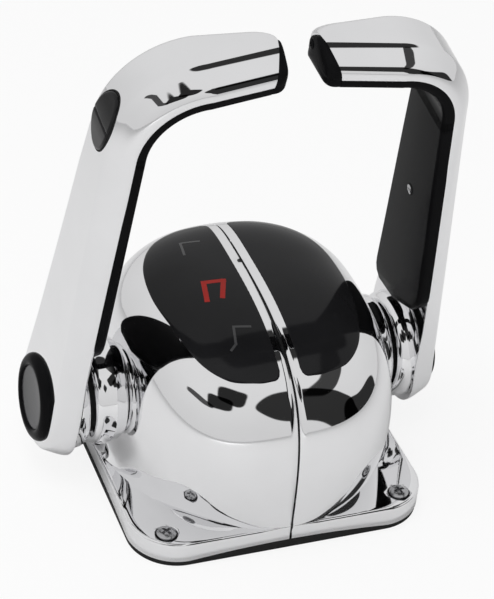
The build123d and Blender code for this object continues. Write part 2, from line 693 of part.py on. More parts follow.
arm = arm_plane * (Pos(0, 0, -lever_thickness) * extrude(foot_outline(), lever_thickness))
outer_edges = []
inner_edges = []
for edge in arm.edges():
    middle = arm_plane.to_local_coords(edge @ 0.5)
    if abs(middle.Y - arm_length) < 0.1:
        continue
    if abs(middle.Z) < 0.1:
        outer_edges.append(edge)
    if abs(middle.Z + lever_thickness) < 0.1:
        inner_edges.append(edge)
arm = fillet(outer_edges, outer_round)
inner_edges = [edge for edge in arm.edges()
               if abs(arm_plane.to_local_coords(edge @ 0.5).Z + lever_thickness) < 0.1
               and abs(arm_plane.to_local_coords(edge @ 0.5).Y - arm_length) > 0.1]
arm = fillet(inner_edges, inner_round)
arm_top = max(arm.faces(), key=lambda face: arm_plane.to_local_coords(face.center()).Y)
arm_bend = revolve(arm_top, bend_axis, bend_angle)
bend_end = arm_top.rotate(bend_axis, bend_angle)
handle_end_place = (handle_start[0] + handle_direction[0] * handle_length,
                    handle_start[1] + handle_direction[1] * handle_length)
handle_end = strip_section(handle_end_half_width, 0, lever_thickness, outer_round, inner_round)
arm_handle = loft([bend_end, station(handle_end_place, handle_direction) * handle_end], ruled=True)
arm = arm + arm_bend + arm_handle

# The casting is a channel from above the foot to the far side of the bend
channel_depth = lever_thickness - arm_wall
channel_start = trim_start + 12
channel = arm_strip(arm_wall, arm_wall, channel_depth, channel_start, arm_length, 6.0)
channel_bend, channel_handle = bend_and_handle(arm_wall, arm_wall, channel_depth, 0, 0, handle_length - 35)
arm = arm - channel - channel_bend - channel_handle

# Oblique cut between the chromed handle and its black end
cut_place = (handle_start[0] + handle_direction[0] * (handle_length - grip_end_length),
             handle_start[1] + handle_direction[1] * (handle_length - grip_end_length))
cut_plane = station(cut_place, handle_direction).rotated((grip_end_rake, grip_end_rake, 0))
beyond_cut = cut_plane * extrude(Rectangle(200, 200), 60)
arm = arm - beyond_cut

# Bores of the foot: the shaft, the seat of the washer and the cap
arm = arm - Rot(0, 90, 0) * extrude(Circle(shaft_radius + seat_gap), 2 * lever_face)
cap_seat = Pos(foot_floor, 0, 0) * Rot(0, 90, 0)
arm = arm - cap_seat * extrude(Circle(cap_bore), 2 * cap_floor)

# Trim strips: one on the arm, one round the bend and under the handle, and the domed end
trim_depth = lever_thickness + trim_gap
trim_body = trim_thickness - trim_gap
trim_top = arm_length - trim_split
arm_trim = arm_strip(trim_inset, trim_depth, trim_body, trim_start, trim_top - trim_gap, trim_tip_round)
inner_face = [edge for edge in arm_trim.edges()
              if abs(arm_plane.to_local_coords(edge @ 0.5).Z + trim_depth + trim_body) < 0.1
              and abs(arm_plane.to_local_coords(edge @ 0.5).Y - trim_top + trim_gap) > 0.1]
arm_trim = fillet(inner_face, trim_round)
grip_foot = station((lever_face + trim_top * arm_direction[0], trim_top * arm_direction[1]), arm_direction)
grip_foot = grip_foot * strip_section(arm_half_width(trim_top) - trim_inset, trim_depth, trim_body, 0, trim_round)
grip_head = station(bend_start, arm_direction)
grip_head = grip_head * strip_section(bend_half_width - trim_inset, trim_depth, trim_body, 0, trim_round)
grip_bend, grip_handle = bend_and_handle(trim_inset, trim_depth, trim_body, 0, trim_round, handle_length)
grip_trim = loft([grip_foot, grip_head], ruled=True) + grip_bend + grip_handle
grip_trim = grip_trim - beyond_cut

full_depth = lever_thickness + trim_thickness
root_reach = handle_length - grip_end_length - grip_end_root
root_place = (handle_start[0] + handle_direction[0] * root_reach, handle_start[1] + handle_direction[1] * root_reach)
root_width = bend_half_width + (handle_end_half_width - bend_half_width) * root_reach / handle_length
end_place = (handle_start[0] + handle_direction[0] * handle_length, handle_start[1] + handle_direction[1] * handle_length)


def end_section(place, half_width):
    """Full cross-section of the handle's black end, a little smaller than the casting."""
    shape = strip_section(half_width - end_inset, end_inset, full_depth - 2 * end_inset, outer_round - end_inset,
                          trim_round)
    return station(place, handle_direction) * shape


grip_end = loft([end_section(root_place, root_width), end_section(end_place, handle_end_half_width)], ruled=True)
grip_end = fillet(grip_end.faces().sort_by(Axis.X)[0].edges(), grip_end_round * 0.45)
grip_end = grip_end & (cut_plane.offset(trim_gap) * extrude(Rectangle(200, 200), 60))

# Screws of the trim and of the handle's end
trim_screw_shape = pan_screw(trim_screw_radius, 1.4, 1.2, 4.0, trim_screw_radius * 1.4)
trim_seat = 1.2
arm_screw_plane = Plane(arm_plane.offset(-(full_depth - trim_seat)).from_local_coords((2.0, trim_screw_height, 0)),
                        x_dir=(0, 1, 0), z_dir=(-math.cos(turn), 0, -math.sin(turn)))
arm_screw = arm_screw_plane * trim_screw_shape
arm_trim = arm_trim - arm_screw_plane * extrude(Circle(trim_screw_radius + 0.3), 4)
arm_trim = arm_trim - arm_screw_plane * extrude(Circle(1.25), -10)
end_plane = station(end_place, handle_direction)
end_screw_plane = Plane(end_plane.from_local_coords((4.0, 8.0, -1.6)), x_dir=(0, 1, 0), z_dir=end_plane.z_dir)
end_screw = end_screw_plane * trim_screw_shape
grip_end = grip_end - end_screw_plane * extrude(Circle(trim_screw_radius + 0.3), 6)
grip_end = grip_end - end_screw_plane * extrude(Circle(1.25), -12)
arm = arm - end_screw_plane * extrude(Circle(1.25), -12)

# Chromed collar between the housing's boss and the arm
collar_start = boss_reach + collar_gap
collar_profile = make_face(Polyline((collar_start, shaft_radius + seat_gap), (collar_start, boss_lip_radius),
                                    (collar_start + 5, collar_radius - 1), (lever_face, collar_radius - 1),
                                    (lever_face, shaft_radius + seat_gap), close=True))
collar = revolve(collar_profile, Axis.X)
collar = collar - arm_plane.offset(-lever_thickness) * extrude(Rectangle(200, 200), 60)

# Clamp screw and washer in the foot, under the cap
washer = cap_seat * extrude(Circle(washer_radius) - Circle(clamp_radius + 0.2), washer_thickness)
clamp_shape = pan_screw(6.5, 3.4, clamp_radius - seat_gap, 16.0, 7.0)
clamp_screw = cap_seat * Pos(0, 0, washer_thickness) * clamp_shape
cap_profile = Polyline((cap_disc_radius, 0), (cap_ring_radius, 0), (cap_ring_radius, cap_ring_height * 0.4))
cap_crown = ThreePointArc((cap_ring_radius, cap_ring_height * 0.4), (cap_ring_radius - 2.2, cap_ring_height * 0.85),
                          (cap_ring_radius - 5, cap_ring_height))
cap_inner = Polyline((cap_ring_radius - 5, cap_ring_height), (cap_disc_radius, cap_ring_height - 1.0),
                     (cap_disc_radius, 0))
cap_ring = revolve(Plane.XZ * make_face(cap_profile + cap_crown + cap_inner), Axis.Z)
cap_plug = Circle(cap_bore - cap_plug_gap) - Circle(cap_bore - cap_plug_gap - 1.5)
cap_disc = extrude(Circle(cap_disc_radius - seat_gap), cap_disc_height) + extrude(cap_plug, -cap_plug_depth)
cap_ring = arm_plane * cap_ring
cap_disc = arm_plane * cap_disc

# Trim rocker of the port lever, drawn on the starboard side like the rest of the lever
rocker_turn = (rocker_height - arm_length) / bend_radius
rocker_angle = turn + rocker_turn
rocker_place = (bend_center[0] + bend_radius * math.cos(rocker_angle),
                bend_center[1] + bend_radius * math.sin(rocker_angle))
rocker_plane = Plane(origin=(rocker_place[0], rocker_offset, rocker_place[1]), x_dir=(0, 1, 0),
                     z_dir=(math.cos(rocker_angle), 0, math.sin(rocker_angle)))


def rocker_oval(grow, depth):
    """Oval prism into the outer skin of the arm, larger by a margin all round."""
    oval = Ellipse(rocker_width / 2 + grow, rocker_length / 2 + grow)
    return rocker_plane * (Pos(0, 0, -depth) * extrude(oval, depth + 4))


band_depth = 2 * arm_wall
band = arm_strip(0, -rocker_proud, band_depth, rocker_height - rocker_length, arm_length, 0)
band_bend, band_handle = bend_and_handle(0, -rocker_proud, band_depth, 0, 0, handle_length)
rocker = (band + band_bend) & rocker_oval(0, rocker_thickness)
rocker_pin_length = rocker_width + 2
rocker_pin_line = rocker_plane.offset(-rocker_pin_depth) * (Pos(-rocker_pin_length / 2, 0, 0) * Rot(0, 90, 0))
rocker = rocker - rocker_pin_line * extrude(Circle(rocker_pin_radius + running_gap), rocker_pin_length)
rocker_groove = rocker_plane.offset(rocker_proud + 0.2) * (Rot(45, 0, 0) * Box(2 * rocker_width, 1.4, 1.4))
rocker = rocker - rocker_groove
rocker_pin = rocker_pin_line * extrude(Circle(rocker_pin_radius), rocker_pin_length)
port_arm = arm - rocker_oval(rocker_gap, rocker_pocket)
port_arm = port_arm - rocker_pin_line * extrude(Circle(rocker_pin_radius + seat_gap), rocker_pin_length)
switch_plane = arm_plane.offset(-trim_depth + seat_gap)
switch_top = arm_length - 1.0
switch_body = switch_plane * (Pos(0, switch_top - switch_length / 2, switch_height / 2) * Box(
    2 * (bend_half_width - arm_wall) - 2, switch_length, switch_height))
plunger = Pos(rocker_offset, switch_top - 4, switch_height) * extrude(Circle(2.0), switch_plunger)
switch_body = switch_body + switch_plane * plunger

lever = {
    "lever_arm": arm,
    "arm_trim": arm_trim,
    "grip_trim": grip_trim,
    "grip_end": grip_end,
    "trim_screws": Compound([arm_screw.solids()[0], end_screw.solids()[0]]),
    "lever_collar": collar,
    "clamp_screw": clamp_screw,
    "clamp_washer": washer,
    "cap_ring": cap_ring,
    "cap_disc": cap_disc,
}
turning = {"shaft": shaft, "brake_drum": drum, "detent_wheel": wheel, "drive_gear": drive_gear,
           "sensor_pinion": pinion + sensor_shaft}
fixed = {"inner_bushes": inner_bush, "outer_bushes": outer_bush, "shaft_seals": seal, "brake_blocks": brake_block,
         "brake_screws": brake_screw, "detent_barrels": barrel, "detent_balls": ball, "detent_springs": spring,
         "sensor_bodies": sensor_body}

for name, solid in lever.items():
    placed = lever_place * solid
    pieces["starboard_" + name] = placed
    pieces["port_" + name] = mirror(placed, Plane.YZ)
for name, solid in turning.items():
    pieces["starboard_" + name] = solid
    pieces["port_" + name] = mirror(solid, Plane.YZ)
port_only = {"port_lever_arm": port_arm, "trim_rocker": rocker, "rocker_pin": rocker_pin, "switch_body": switch_body}
for name, solid in port_only.items():
    pieces[name] = mirror(lever_place * solid, Plane.YZ)
for name, solid in fixed.items():
    pieces[name] = Compound(list(solid.solids()) + list(mirror(solid, Plane.YZ).solids()))

os.makedirs("parts", exist_ok=True)
for name, solid in pieces.items():
    export_step(solid, "parts/" + name + ".step")
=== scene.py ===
import bmesh
import bpy
import numpy as np
from mathutils import Matrix, Vector


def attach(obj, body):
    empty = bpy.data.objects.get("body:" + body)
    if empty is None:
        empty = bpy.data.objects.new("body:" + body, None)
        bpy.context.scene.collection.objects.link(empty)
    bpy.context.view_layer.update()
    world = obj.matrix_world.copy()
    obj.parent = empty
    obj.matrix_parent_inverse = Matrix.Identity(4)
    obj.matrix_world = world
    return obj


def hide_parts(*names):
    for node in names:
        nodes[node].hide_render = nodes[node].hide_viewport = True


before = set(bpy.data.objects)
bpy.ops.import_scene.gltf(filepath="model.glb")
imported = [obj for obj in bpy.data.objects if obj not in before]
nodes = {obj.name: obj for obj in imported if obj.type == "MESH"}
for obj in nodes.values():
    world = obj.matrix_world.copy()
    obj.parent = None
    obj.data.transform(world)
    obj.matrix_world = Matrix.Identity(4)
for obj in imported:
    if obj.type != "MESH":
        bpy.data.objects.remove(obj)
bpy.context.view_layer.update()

# Camera. The photograph looks down on the operator's side of the control from its port quarter,
# with a long lens and a slight roll. Angles in degrees, places in metres.
camera_azimuth, camera_elevation, camera_roll = np.radians([-23.45, 36.1, 6.14])
camera_back = np.array([np.sin(camera_azimuth) * np.cos(camera_elevation),
                        -np.cos(camera_azimuth) * np.cos(camera_elevation), np.sin(camera_elevation)])
level_right = np.array([np.cos(camera_azimuth), np.sin(camera_azimuth), 0.0])
level_up = np.cross(camera_back, level_right)
camera_right = np.cos(camera_roll) * level_right + np.sin(camera_roll) * level_up
camera_up = -np.sin(camera_roll) * level_right + np.cos(camera_roll) * level_up
camera_place = np.array([-0.00361, 0.0, 0.09982]) + 1.1162 * camera_back
camera = bpy.data.objects.new("camera", bpy.data.cameras.new("camera"))
camera.data.sensor_fit = "VERTICAL"
camera.data.sensor_height = 36.0
camera.data.lens = 132.42
camera.matrix_world = Matrix([[*row, place] for row, place in zip(
    np.stack([camera_right, camera_up, camera_back], 1), camera_place)] + [[0, 0, 0, 1]])
bpy.context.scene.collection.objects.link(camera)
bpy.context.scene.camera = camera
bpy.context.scene.view_settings.view_transform = "Standard"


def node(tree, kind, place, **settings):
    """Adds a shader node and sets its properties; sockets are given as pairs of index and value."""
    made = tree.nodes.new(kind)
    made.location = place
    sockets = settings.pop("sockets", {})
    for name, value in settings.items():
        setattr(made, name, value)
    for index, value in sockets.items():
        made.inputs[index].default_value = value
    return made


# Studio. A white tent of soft light all round, with dark cards that polished metal shows as dark
# shapes with wavy edges, two soft lamps, and a white paper floor.
world = bpy.data.worlds.new("studio")
bpy.context.scene.world = world
world.use_nodes = True
tent = world.node_tree
tent.nodes.clear()
direction = node(tent, "ShaderNodeTexCoord", (-1400, 0))
ripple = node(tent, "ShaderNodeTexNoise", (-1800, -200))
ripple.inputs["Scale"].default_value = 1.7
ripple.inputs["Detail"].default_value = 1.0
sway = node(tent, "ShaderNodeVectorMath", (-1600, -200), operation="SUBTRACT", sockets={1: (0.5, 0.5, 0.5)})
wave = 0.22
drift = node(tent, "ShaderNodeVectorMath", (-1450, -200), operation="MULTIPLY_ADD",
             sockets={1: (wave,) * 3})
tent.links.new(direction.outputs["Generated"], ripple.inputs["Vector"])
tent.links.new(ripple.outputs["Color"], sway.inputs[0])
tent.links.new(sway.outputs[0], drift.inputs[0])
tent.links.new(direction.outputs["Generated"], drift.inputs[2])


def dark_card(azimuth, elevation, half_width, half_height, tilt, softness, depth):
    """Share of light left by a dark card on the tent: 1 less depth where (u/w)^4 + (v/h)^4 < 1, with
    u and v the direction's tangents about the card's middle, turned by its tilt."""
    a, e, t = np.radians([azimuth, elevation, tilt])
    ahead = np.array([np.sin(a) * np.cos(e), -np.cos(a) * np.cos(e), np.sin(e)])
    level = np.array([np.cos(a), np.sin(a), 0.0])
    upright = -np.cross(level, ahead)
    across = np.cos(t) * level + np.sin(t) * upright
    above = -np.sin(t) * level + np.cos(t) * upright
    dots = []
    for axis in (across / half_width, above / half_height, ahead):
        dot = node(tent, "ShaderNodeVectorMath", (-1200, 0), operation="DOT_PRODUCT",
                   sockets={1: tuple(axis)})
        tent.links.new(drift.outputs[0], dot.inputs[0])
        dots.append(dot.outputs["Value"])
    front = node(tent, "ShaderNodeMath", (-1000, 0), operation="MAXIMUM", sockets={1: 0.001})
    tent.links.new(dots[2], front.inputs[0])
    powers = []
    for dot in dots[:2]:
        ratio = node(tent, "ShaderNodeMath", (-800, 0), operation="DIVIDE")
        square = node(tent, "ShaderNodeMath", (-650, 0), operation="MULTIPLY")
        fourth = node(tent, "ShaderNodeMath", (-500, 0), operation="MULTIPLY")
        tent.links.new(dot, ratio.inputs[0])
        tent.links.new(front.outputs[0], ratio.inputs[1])
        for target, source in ((square, ratio), (fourth, square)):
            tent.links.new(source.outputs[0], target.inputs[0])
            tent.links.new(source.outputs[0], target.inputs[1])
        powers.append(fourth.outputs[0])
    reach = node(tent, "ShaderNodeMath", (-300, 0), operation="ADD")
    tent.links.new(powers[0], reach.inputs[0])
    tent.links.new(powers[1], reach.inputs[1])
    left = node(tent, "ShaderNodeMapRange", (-150, 0), interpolation_type="SMOOTHSTEP",
                sockets={1: 1.0 - softness, 2: 1.0 + softness, 3: 1.0 - depth, 4: 1.0})
    tent.links.new(reach.outputs[0], left.inputs[0])
    return left.outputs[0]


cards = [dark_card(-33, 40, 0.22, 0.14, 8, 0.3, 0.97), dark_card(-17, 51, 0.22, 0.16, -12, 0.3, 0.97),
         dark_card(34, 18, 0.56, 0.25, -60, 0.15, 0.96), dark_card(62, 0, 0.40, 0.27, -12, 0.15, 0.96),
         dark_card(54, 50, 0.42, 0.11, 35, 0.3, 0.93), dark_card(-59, 33, 0.31, 0.05, 0, 0.3, 0.9),
         dark_card(108, 69, 0.23, 0.45, 0, 0.3, 0.96)]
light = cards[0]
for card in cards[1:]:
    product = node(tent, "ShaderNodeMath", (0, 0), operation="MULTIPLY")
    tent.links.new(light, product.inputs[0])
    tent.links.new(card, product.inputs[1])
    light = product.outputs[0]
split = node(tent, "ShaderNodeSeparateXYZ", (-400, 300))
tent.links.new(direction.outputs["Generated"], split.inputs[0])
height_light = node(tent, "ShaderNodeMapRange", (-200, 300), interpolation_type="SMOOTHSTEP",
                    sockets={1: -0.1, 2: 0.9, 3: 0.86, 4: 0.97})
tent.links.new(split.outputs[2], height_light.inputs[0])
level = node(tent, "ShaderNodeMath", (100, 100), operation="MULTIPLY")
tent.links.new(light, level.inputs[0])
tent.links.new(height_light.outputs[0], level.inputs[1])
tent_light = node(tent, "ShaderNodeBackground", (300, 100))
tent.links.new(level.outputs[0], tent_light.inputs["Strength"])
tent_white = node(tent, "ShaderNodeBackground", (300, -100), sockets={0: (1, 1, 1, 1), 1: 1.0})
ray = node(tent, "ShaderNodeLightPath", (300, 400))
seen = node(tent, "ShaderNodeMixShader", (500, 0))
tent_out = node(tent, "ShaderNodeOutputWorld", (700, 0))
tent.links.new(ray.outputs["Is Camera Ray"], seen.inputs[0])
tent.links.new(tent_light.outputs[0], seen.inputs[1])
tent.links.new(tent_white.outputs[0], seen.inputs[2])
tent.links.new(seen.outputs[0], tent_out.inputs[0])

for lamp_name, lamp_place, lamp_size, lamp_power in (
        ("top_softbox", (-0.25, -0.1, 1.25), 0.6, 5.5), ("front_softbox", (-0.47, -1.29, 0.4), 0.7, 3.0)):
    lamp = bpy.data.lights.new(lamp_name, "AREA")
    lamp.energy = lamp_power
    lamp.size = lamp_size
    lamp_object = bpy.data.objects.new(lamp_name, lamp)
    lamp_object.location = lamp_place
    lamp_object.visible_glossy = False
    away = Vector(lamp_place) - Vector((0, 0, 0.1))
    lamp_object.rotation_euler = away.to_track_quat("Z", "Y").to_euler()
    bpy.context.scene.collection.objects.link(lamp_object)

floor_mesh = bpy.data.meshes.new("floor")
floor_half, floor_level = 4.0, -0.0002
floor_corners = [(floor_half * x, floor_half * y, floor_level)
                 for x, y in ((-1, -1), (1, -1), (1, 1), (-1, 1))]
floor_mesh.from_pydata(floor_corners, [], [(0, 1, 2, 3)])
floor = bpy.data.objects.new("floor", floor_mesh)
bpy.context.scene.collection.objects.link(floor)
paper = bpy.data.materials.new("white_paper")
paper.use_nodes = True
paper_tree = paper.node_tree
paper_tree.nodes.clear()
paper_rays = node(paper_tree, "ShaderNodeLightPath", (-600, 200))
paper_light = 0.86
paper_matte = node(paper_tree, "ShaderNodeBsdfDiffuse", (-400, 0), sockets={0: (*[paper_light] * 3, 1)})
paper_glow = node(paper_tree, "ShaderNodeEmission", (-400, -200), sockets={0: (1, 1, 1, 1), 1: 1.0})
paper_share = node(paper_tree, "ShaderNodeMath", (-400, 200), operation="MULTIPLY",
                   sockets={1: paper_light})
paper_mix = node(paper_tree, "ShaderNodeMixShader", (-150, 0))
paper_out = node(paper_tree, "ShaderNodeOutputMaterial", (50, 0))
paper_tree.links.new(paper_rays.outputs["Is Camera Ray"], paper_share.inputs[0])
paper_tree.links.new(paper_share.outputs[0], paper_mix.inputs[0])
paper_tree.links.new(paper_matte.outputs[0], paper_mix.inputs[1])
paper_tree.links.new(paper_glow.outputs[0], paper_mix.inputs[2])
paper_tree.links.new(paper_mix.outputs[0], paper_out.inputs[0])
floor_mesh.materials.append(paper)


def finish_material(name, color, rough, metal=0.0, grain=0.0, grain_size=400.0, vary=0.06, shine=0.5,
                    ior=1.5):
    """Principled finish: colour and roughness each vary by a soft noise on Object coordinates, and
    grain is the strength of a fine bump. Shine and ior set how much the surface mirrors."""
    material = bpy.data.materials.new(name)
    material.use_nodes = True
    tree = material.node_tree
    shader = tree.nodes["Principled BSDF"]
    shader.inputs["Metallic"].default_value = metal
    shader.inputs["Specular IOR Level"].default_value = shine
    shader.inputs["IOR"].default_value = ior
    place = node(tree, "ShaderNodeTexCoord", (-900, 0))
    cloud = node(tree, "ShaderNodeTexNoise", (-700, 0))
    cloud.inputs["Scale"].default_value = 38.0
    cloud.inputs["Detail"].default_value = 3.0
    tree.links.new(place.outputs["Object"], cloud.inputs["Vector"])
    tone = node(tree, "ShaderNodeValToRGB", (-450, 150))
    tone.color_ramp.elements[0].position = 0.3
    tone.color_ramp.elements[1].position = 0.7
    tone.color_ramp.elements[0].color = (*[c * (1 - vary) for c in color], 1)
    tone.color_ramp.elements[1].color = (*[min(1.0, c * (1 + vary)) for c in color], 1)
    tree.links.new(cloud.outputs["Fac"], tone.inputs[0])
    tree.links.new(tone.outputs[0], shader.inputs["Base Color"])
    gloss = node(tree, "ShaderNodeMapRange", (-450, -100),
                 sockets={1: 0.3, 2: 0.7, 3: rough * 0.85, 4: rough * 1.15})
    tree.links.new(cloud.outputs["Fac"], gloss.inputs[0])
    tree.links.new(gloss.outputs[0], shader.inputs["Roughness"])
    if grain:
        fine = node(tree, "ShaderNodeTexNoise", (-700, -350))
        fine.inputs["Scale"].default_value = grain_size
        fine.inputs["Detail"].default_value = 2.0
        tree.links.new(place.outputs["Object"], fine.inputs["Vector"])
        bump = node(tree, "ShaderNodeBump", (-300, -350))
        bump.inputs["Strength"].default_value = grain
        bump.inputs["Distance"].default_value = 0.0002
        tree.links.new(fine.outputs["Fac"], bump.inputs["Height"])
        tree.links.new(bump.outputs[0], shader.inputs["Normal"])
    return material


def dress(names, material):
    """Puts one finish on all the slots of the named solids."""
    for name in names:
        solid = nodes[name]
        if not solid.data.materials:
            solid.data.materials.append(material)
        for index in range(len(solid.data.materials)):
            solid.data.materials[index] = material


# Base: black rubber gasket, thicker at the middle of each side, under a cast plate with the
# mounting holes and the rubber grommet of the harness outlet.
black_rubber = finish_material("black_rubber", (0.012, 0.012, 0.012), 0.6, grain=0.35, grain_size=900.0,
                               vary=0.15, shine=0.15)
cast_aluminium = finish_material("cast_aluminium", (0.58, 0.59, 0.6), 0.42, metal=0.9, grain=0.5,
                                 grain_size=600.0)
dress(["base_gasket", "harness_grommet", "shaft_seals"], black_rubber)
dress(["base_plate", "mechanism_frame"], cast_aluminium)

# Mechanism under the covers: machined shafts, wheels and gears, bronze bushes, moulded blocks and
# sensors, and the board with its lamps.
machined_steel = finish_material("machined_steel", (0.5, 0.5, 0.51), 0.28, metal=1.0, grain=0.2,
                                 grain_size=1500.0)
bush_bronze = finish_material("bush_bronze", (0.68, 0.49, 0.25), 0.32, metal=1.0, vary=0.1)
moulded_black = finish_material("moulded_black", (0.05, 0.05, 0.055), 0.5, grain=0.3, grain_size=1200.0)
board_green = finish_material("board_green", (0.03, 0.16, 0.08), 0.35, vary=0.15)
lamp_clear = finish_material("lamp_clear", (0.78, 0.76, 0.72), 0.2, vary=0.04)
dress([name for name in nodes if name.split("_", 1)[-1] in (
    "shaft", "brake_drum", "detent_wheel", "drive_gear", "clamp_screw", "clamp_washer")], machined_steel)
dress(["frame_screws", "brake_screws", "detent_barrels", "detent_balls", "detent_springs"], machined_steel)
dress(["inner_bushes", "outer_bushes"], bush_bronze)
dress(["brake_blocks", "sensor_bodies", "harness_socket", "switch_body", "port_sensor_pinion",
       "starboard_sensor_pinion"], moulded_black)
dress(["control_board"], board_green)
dress(["panel_lamps"], lamp_clear)

# Covers: two polished castings, chromed, that meet on the seam. Each has half of the dome, a flat
# land with a screw well in both corners, an upright skirt, and a round boss for the shaft.
chrome = finish_material("polished_chrome", (0.86, 0.86, 0.87), 0.035, metal=1.0, vary=0.015)
skirt_top = 14.0
dome_rise = 95.5
pivot = np.array([0.0, 20.0, 40.5])


def dome_sizes(share):
    """Half width, aft reach, bow reach and plan exponents of the dome at a share of its height:
    reach = foot (1 - share^p)^(1/q), with a flare exp(-rise / 6 mm) at the sides, and an ellipse at
    the foot that squares up as exp(-rise / 14 mm)."""
    share = np.clip(share, 0.0, 1.0)
    rise = share * dome_rise
    sweep = np.exp(-rise / 14.0)
    half = 73.0 * (1 - share ** 3.75) ** (1 / 3.6) + 6.0 * np.exp(-rise / 6.0)
    aft = 98.9 * (1 - share ** 3.7) ** (1 / 2.65)
    bow = 58.9 * (1 - share ** 6.0) ** (1 / 3.7)
    return half, aft, bow, 2.95 - 0.95 * sweep, 2.3 - 0.3 * sweep


def dome_point(share, turn):
    """Point of the starboard half dome: x = half cos(turn)^(2/n), y = 20 + reach sin(turn)^(2/n)."""
    half, aft, bow, aft_power, bow_power = dome_sizes(share)
    sine = np.sin(turn)
    reach = np.where(sine > 0, bow, aft)
    power = np.where(sine > 0, bow_power, aft_power)
    x = half * np.maximum(np.cos(turn), 0) ** (2 / power)
    y = pivot[1] + np.sign(sine) * reach * np.abs(sine) ** (2 / power)
    return np.stack([x, y, skirt_top + share * dome_rise + 0 * x], -1)


def dome_roof(x, y):
    """Height of the dome over a place of its plan, by halving the share until the point lies on
    the plan curve (x/half)^n + (y/reach)^n = 1."""
    low, high = np.zeros(np.shape(x)), np.ones(np.shape(x))
    for _ in range(40):
        middle = (low + high) / 2
        half, aft, bow, aft_power, bow_power = dome_sizes(middle)
        along = y - pivot[1]
        reach = np.where(along > 0, bow, aft)
        power = np.where(along > 0, bow_power, aft_power)
        inside = (np.abs(x) / half) ** power + (np.abs(along) / reach) ** power < 1
        low, high = np.where(inside, middle, low), np.where(inside, high, middle)
    return skirt_top + low * dome_rise


base_half, base_corner = 79.0, 25.5
base_straight = base_half - base_corner


def base_outline(x, y):
    """Factor that carries a direction (x, y) out to the rounded square: to the nearer side, or to
    the corner's arc, the larger root of a f^2 + b f + c = 0."""
    ax, ay = np.abs(x), np.abs(y)
    square = base_half / np.maximum(ax, ay)
    b = -2 * base_straight * (ax + ay)
    a = ax ** 2 + ay ** 2
    c = 2 * base_straight ** 2 - base_corner ** 2
    corner = (-b + np.sqrt(np.maximum(b * b - 4 * a * c, 0))) / (2 * a)
    in_corner = (ax * square > base_straight) & (ay * square > base_straight)
    return np.where(in_corner, corner, square)


def lay_skin(name, rows, material, body, closed=False, mirrored=False, sharp=28.0):
    """Mesh of quads between neighbouring points of a grid, in millimetres; closed joins the last
    column to the first. Doubled points are merged and faces turned outwards."""
    count_u, count_v = rows.shape[:2]
    points = rows.reshape(-1, 3) * 0.001
    if mirrored:
        points = points * np.array([-1.0, 1.0, 1.0])
    index = np.arange(count_u * count_v).reshape(count_u, count_v)
    if closed:
        index = np.concatenate([index, index[:, :1]], 1)
    quads = np.stack([index[:-1, :-1], index[1:, :-1], index[1:, 1:], index[:-1, 1:]], -1).reshape(-1, 4)
    mesh = bpy.data.meshes.new(name)
    mesh.from_pydata(points.tolist(), [], quads.tolist())
    tidy = bmesh.new()
    tidy.from_mesh(mesh)
    bmesh.ops.remove_doubles(tidy, verts=tidy.verts, dist=2e-6)
    bmesh.ops.dissolve_degenerate(tidy, edges=tidy.edges, dist=1e-6)
    bmesh.ops.recalc_face_normals(tidy, faces=tidy.faces)
    tidy.to_mesh(mesh)
    tidy.free()
    mesh.shade_smooth()
    mesh.set_sharp_from_angle(angle=np.radians(sharp))
    mesh.materials.append(material)
    piece = bpy.data.objects.new(name, mesh)
    bpy.context.scene.collection.objects.link(piece)
    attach(piece, body)
    return piece


turns = np.radians(np.linspace(-90, 90, 181))
shares = 1 - np.linspace(0, 1, 110) ** 2.2
dome_rows = dome_point(shares[:, None], turns[None, :])
foot = dome_rows[-1]
out = base_outline(foot[:, 0], foot[:, 1])[:, None] * foot[:, :2]
land = np.linalg.norm(out - foot[:, :2], axis=1, keepdims=True)
edge_round = np.minimum(1.6, 0.8 * land)
inward = (foot[:, :2] - out) / np.maximum(land, 1e-6)
land_rows = []
for share in np.linspace(0.08, 1, 8):
    flat = foot[:, :2] + (out + inward * edge_round - foot[:, :2]) * share
    land_rows.append(np.concatenate([flat, np.full((len(flat), 1), skirt_top)], 1))
for angle in np.radians([22.5, 45, 67.5, 90]):
    flat = out + inward * edge_round * (1 - np.sin(angle))
    land_rows.append(np.concatenate([flat, skirt_top - edge_round * (1 - np.cos(angle))], 1))
side = np.where(np.abs(out[:, 0]) > np.abs(out[:, 1]), out[:, 1], out[:, 0])
arch = 3.0 + 2.7 * np.maximum(1 - (side / base_straight) ** 2, 0)
for share in (0.5, 1.0):
    height = (skirt_top - 2) * (1 - share) + arch * share
    land_rows.append(np.concatenate([out, height[:, None]], 1))
cover_rows = np.concatenate([dome_rows, np.stack(land_rows)])
seam_half_gap = 0.65
cover_rows[:, :, 0] = np.maximum(cover_rows[:, :, 0], seam_half_gap)


def round_about_x(profile, steps=96):
    """Surface of a profile (x, radius) carried round the lever's axis."""
    profile = np.array(profile, float)
    angle = np.linspace(0, 2 * np.pi, steps, endpoint=False)
    x = np.repeat(profile[:, :1], steps, 1)
    y = pivot[1] + profile[:, 1:] * np.cos(angle)
    z = pivot[2] + profile[:, 1:] * np.sin(angle)
    return np.stack([x, y, z], -1)


